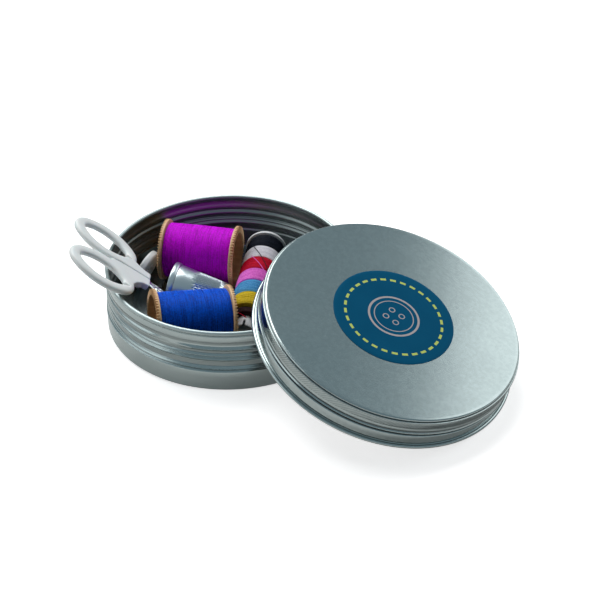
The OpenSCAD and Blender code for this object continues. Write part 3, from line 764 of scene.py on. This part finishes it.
def makeLoop(name, width, thick):
    pickUp(None)
    bpy.ops.mesh.primitive_torus_add(major_segments=120, minor_segments=16, major_radius=startRadius,
                                     minor_radius=startRadius / 5)
    piece = bpy.context.object
    piece.name = name

    def squared(share):  # a rounded square bar, not a round one
        return abs(share) ** handles["squareness"] * (1 if share > 0 else -1)
    for vertex in piece.data.vertices:
        middle, out = loopLine(degrees(atan2(vertex.co.y, vertex.co.x)))
        angle = atan2(vertex.co.z, hypot(*vertex.co.xy) - startRadius)
        point = middle + out * width / 2 * squared(cos(angle))
        height = thick / 2 * squared(sin(angle))
        vertex.co = Vector((point.x, point.y, height + handles["rise"] * (height + thick / 2) / thick)) * mm
    return piece


def onCircle(spot, radius, angle):
    return spot[0] + radius * cos(radians(angle)), spot[1] + radius * sin(radians(angle))


def loopEndAt(spot, turn, angle):
    return onCircle(onCircle(spot, endLine, turn), handles["endRadius"], turn + angle)


def loopSideAt(spot, turn, side, angle):
    centre = onCircle(spot, side * (sideRadius - handles["loopB"]), turn - 90)
    return onCircle(centre, sideRadius, turn + side * angle)


def makeHandle(name, spot, turn, side, innerY, outerY, edge):
    end, run, rise, thick = handles["plasticEnd"], handles["neckRun"], handles["rise"], handles["thick"]
    webAngles = handles["webAngles"]
    place = at(*spot, 0, ("Z", turn))
    loop = makeLoop(name, handles["bar"], thick)
    setDown(loop, place)
    outer = loopEndAt(spot, turn, side * webAngles[0])
    outline = ([(-end, innerY), (-end, outerY), (-end - run / 2, outerY + side * 0.3),
                (-end - run, outerY * 0.7 + outer[1] * 0.3)]
               + [loopEndAt(spot, turn, side * angle) for angle in webAngles]
               + [loopSideAt(spot, turn, -side, angle) for angle in (endAngle + webAngles[0], 90)] + edge)
    web = drawLine("web", [(x, y, 0) for x, y in outline], filled=True)
    thicken(web, thick + rise - handles["webTrim"])
    lift(web, rise / 2)
    roundEdges(web, handles["webRound"], 3, 50)
    hole = handles["endRadius"] - handles["bar"] / 2
    pointed = [(endLine - 1, -hole, 0), (endLine + hole + handles["point"], -0.4, 0), (endLine - 1, hole, 0)]
    for part in (web, loop):  # the finger hole narrows to a point towards the neck
        wedge = drawLine("wedge", pointed, filled=True)
        thicken(wedge, 6)
        setDown(wedge, place)
        cut(part, wedge)
    piece = join(name, loop, web)
    modify(piece, "REMESH", mode="VOXEL", voxel_size=handles["voxel"] * mm)
    modify(piece, "SMOOTH", factor=handles["smoothing"], iterations=7)
    return piece


def milky():
    finish = Finish("milkyPlastic")
    clouds = finish.noise(finish.place(), 260.0, 3.0)
    pits = finish.noise(finish.place(), 2600.0)
    return finish.surface(Base_Color=finish.mix(clouds, (0.78, 0.82, 0.81), (0.84, 0.87, 0.86)),
                          Roughness=pits * 0.12 + 0.30, Subsurface_Weight=0.35, Subsurface_Radius=(0.6, 0.75, 0.8),
                          Subsurface_Scale=0.0012, Normal=finish.bump(pits + clouds, 0.00003, 0.5))


backSeam, frontSeam = handles["parting"] + handles["gap"] / 2, handles["parting"] - handles["gap"] / 2
backEdge, frontEdge = backSeam + handles["seam"], frontSeam - handles["seam"]
plastic = milky()
backHandle = makeHandle("backHandle", (-21.8, 10.82), -11.5, 1, backEdge, backSeam + handles["backNeck"],
                        [(-16.0, backEdge)])
fitPiece(backHandle, "scissors_back_handle", "scissors_back", plastic, scissorsPlace, 60)
frontHandle = makeHandle("frontHandle", (-20.6, -7.42), -6.4, -1, frontEdge, frontSeam - handles["frontNeck"],
                         [(-18.5, frontSeam - 0.84), (-12.99, frontSeam - 0.2)])
fitPiece(frontHandle, "scissors_front_handle", "scissors_front", plastic, scissorsPlace, 60)

blades = {"length": 21.4, "turn": 4.5, "thick": 0.8, "gap": 0.3, "half": 2.0, "tang": 6.0, "rivet": 0.9,
          "play": 0.05, "grindFrom": 1.5, "grindDepth": 0.5, "grindSlope": 1.4}


def makeBlade(name, side, tangY, tangWidth, middleZ, hole):
    length, end, half, tang = blades["length"], handles["plasticEnd"], blades["half"], blades["tang"]
    c, s = cos(radians(blades["turn"])), sin(radians(blades["turn"]))
    w = side * half
    backY = tangY + side * tangWidth
    tangLine = [(-end - tang, tangY, 0), (-end - tang, backY, 0), (-end, backY, 0)]
    bladeLine = [(-1, w * 1.04), (half, w * 0.9), (length * 0.6, w * 0.6), (length * 0.9, w * 0.26),
                 (length, w * 0.08), (length, -w * 0.12), (length * 0.9, -w * 0.3), (length * 0.6, -w * 0.7),
                 (half, -w), (-half * 0.4, -w)]
    turned = [(x * c - y * s, x * s + y * c, 0) for x, y in bladeLine]
    piece = drawLine(name, tangLine + turned + [(-end, tangY, 0)], filled=True)
    thicken(piece, blades["thick"])
    drill(piece, hole, 3)
    roundEdges(piece, 0.14, 2, 50)
    outward = 1 if middleZ > 0 else -1

    def grind(point):  # the cutting edge is ground thin on its outer face
        if point.x < blades["grindFrom"] * mm or point.z * outward < 0:
            return point
        across = point.y * c - point.x * s
        near = max(0.0, min(1.0, across / (-w * mm) * blades["grindSlope"]))
        return Vector((point.x, point.y, point.z - outward * blades["grindDepth"] * near * mm))
    moveVertices(piece, grind)
    lift(piece, middleZ)
    return piece


layer = (blades["gap"] + blades["thick"]) / 2
backBlade = makeBlade("backBlade", 1, backSeam + 0.7, handles["backNeck"] - 1.6, -layer,
                      blades["rivet"] + blades["play"])
fitPiece(backBlade, "scissors_back_blade", "scissors_back", bladeMetal, scissorsPlace)
frontBlade = makeBlade("frontBlade", -1, frontSeam - 1, handles["frontNeck"] - 2.2, layer, blades["rivet"])
fitPiece(frontBlade, "scissors_front_blade", "scissors_front", bladeMetal, scissorsPlace)
rivetProfile = [(0, -1.6), (0.7, -1.6), (1.2, -1.5), (1.55, -1.32), (1.6, -1.25), (blades["rivet"], -1.25),
                (blades["rivet"], 0.95), (1.6, 0.95), (1.55, 1.03), (1.2, 1.2), (0.75, 1.28), (0.35, 1.27),
                (0.2, 1.18), (0, 1.15)]
rivet = turnProfile("rivet", rivetProfile, 64)
fitPiece(rivet, "scissors_rivet", "scissors_front", bladeMetal, scissorsPlace)
print("scissors made")

# Button

button = {"radius": 7.0, "thick": 2.4, "dish": 0.8, "edge": 0.6, "hole": 0.8, "holeAt": 1.9}


def makeButton(button):
    r, half, dish, edge = button["radius"], button["thick"] / 2, button["dish"], button["edge"]
    back = [(0, -half), (4, -half), (5.8, -half)] + arc((r - edge, edge - half), edge, -90, 0, 5)
    front = arc((r - edge, half - edge), edge, 0, 90, 5) + [
        (r - 1.1, half - 0.02), (r - 1.5, half - 0.15), (r - 2.0, half - 0.5), (r - 2.5, half - 0.76),
        (r - 3.0, half - dish), (2, half - dish), (0, half - dish)]
    piece = turnProfile("shirtButton", back + front, 96)
    for x, y in arc((0, 0), button["holeAt"], 45, 315, 3):
        drill(piece, button["hole"], 6, x, y, sides=32)
    roundEdges(piece, 0.12, 2, 60)
    return piece


finish = Finish("pearlButton")
waves = finish.streaks((300, 90, 300), 4.0)
pearlStops = [(0.3, (0.72, 0.76, 0.78)), (0.55, (0.80, 0.83, 0.84)), (0.8, (0.86, 0.88, 0.89))]
pearl = finish.surface(Base_Color=finish.ramp(waves, pearlStops), Roughness=waves * 0.15 + 0.22, Coat_Weight=0.3,
                       Subsurface_Weight=0.8, Subsurface_Radius=(1.0, 1.05, 1.1), Subsurface_Scale=0.003,
                       Normal=finish.bump(waves, 0.00004, 0.4))
fitPiece(makeButton(button), "shirt_button", "button", pearl, buttonPlace)
print("button made")

# Floor and light: the floor shows white to the camera and dimmer in metal

studio = {"floor": (0.8, 0.8, 0.8), "glow": (0.72, 0.72, 0.72), "mirrored": 0.2, "sky": (0.275, 0.36, 0.41),
          "spill": 0.15, "floorSize": 6, "floorDrop": 0.0002}
pickUp(None)
bpy.ops.mesh.primitive_plane_add(size=studio["floorSize"], location=(0, 0, -studio["floorDrop"]))
floorPlane = bpy.context.object
floorPlane.name = "floor"
finish = Finish("paleFloor")
rays = finish.node("ShaderNodeLightPath", output=None).outputs
seen, glossy, through = [Value(finish, rays[name + " Ray"]) for name in ("Is Camera", "Is Glossy", "Is Transmission")]
shown = seen.math("MAXIMUM", glossy.math("MAXIMUM", through) * studio["mirrored"])
glow = finish.mix(shown, (0, 0, 0), studio["glow"])
floorPlane.data.materials.append(finish.surface(Base_Color=studio["floor"], Roughness=0.9, Specular_IOR_Level=0.0,
                                                Emission_Color=glow, Emission_Strength=1.0))

world = Finish("studio", bpy.data.worlds.new("studio"))
bpy.context.scene.world = world.material
mirrored = world.node("ShaderNodeLightPath", output="Is Glossy Ray")
backdrop = world.node("ShaderNodeBackground", {}, {"Color": (*studio["sky"], 1),
                      "Strength": mirrored * (1 - studio["spill"]) + studio["spill"]})
world.node("ShaderNodeOutputWorld", {}, {"Surface": backdrop}, output=None)


def softBox(name, place, target, width, height, radiance, edge=(0, 0, 1)):  # edge: the way its height runs
    pickUp(None)
    bpy.ops.object.light_add(type="AREA", location=place)
    lamp = bpy.context.object
    lamp.name = name
    lamp.data.shape = "RECTANGLE"
    lamp.data.size, lamp.data.size_y = width, height
    lamp.data.energy = radiance * pi * width * height
    back = (Vector(place) - Vector(target)).normalized()
    up = (Vector(edge) - back * back.dot(Vector(edge))).normalized()
    lamp.rotation_euler = Matrix((up.cross(back), up, back)).transposed().to_euler()


softBox("key", (-0.34, 0.60, 1.0), (0, 0, 0), 1.15, 0.9, 4.8)
softBox("rightBack", (0.901, 0.573, 0.564), (0.439, 0.005, -0.117), 0.8, 1.0, 1.6, (-0.268, 0.822, -0.503))
softBox("left", (-0.95, -0.2, 0.5), (0, 0, 0), 0.9, 0.6, 1.1)
print("light set")
